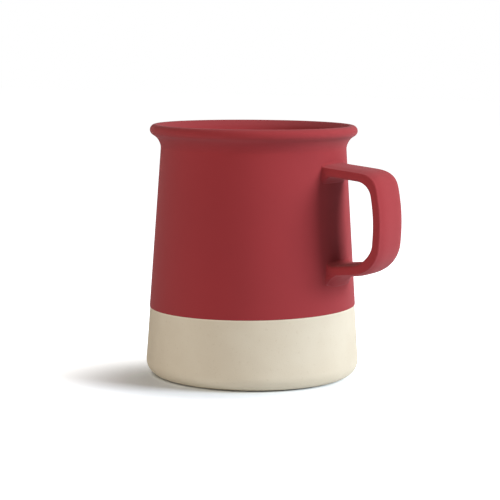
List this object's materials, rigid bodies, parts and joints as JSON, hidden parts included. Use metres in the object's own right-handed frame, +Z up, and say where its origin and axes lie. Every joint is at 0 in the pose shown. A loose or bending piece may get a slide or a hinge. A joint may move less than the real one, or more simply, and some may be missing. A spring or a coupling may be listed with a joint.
{
  "type": "stoneware mug",
  "caption": "Tapered stoneware mug with a flared, rounded lip, a square-shouldered strap handle and a satin red glaze that leaves a bare clay band at the foot.",
  "frame": {"origin": "centre of the flat base, on the axis of the cup", "axes": "+Z up along the axis of the cup, +X from the axis towards the handle"},
  "size_m": [0.1101, 0.0896, 0.105],
  "materials": {
    "stoneware": "fired, unglazed, matt, faintly mottled",
    "slip": "fired, unglazed, matt",
    "red_glaze": "satin, one even colour"
  },
  "bodies": {
    "root": {"clay_body": "stoneware", "handle": "stoneware", "upper_slip_joint": "slip", "lower_slip_joint": "slip", "outer_glaze": "red_glaze", "handle_glaze": "red_glaze", "liner_glaze": "red_glaze"}
  },
  "joints": []
}
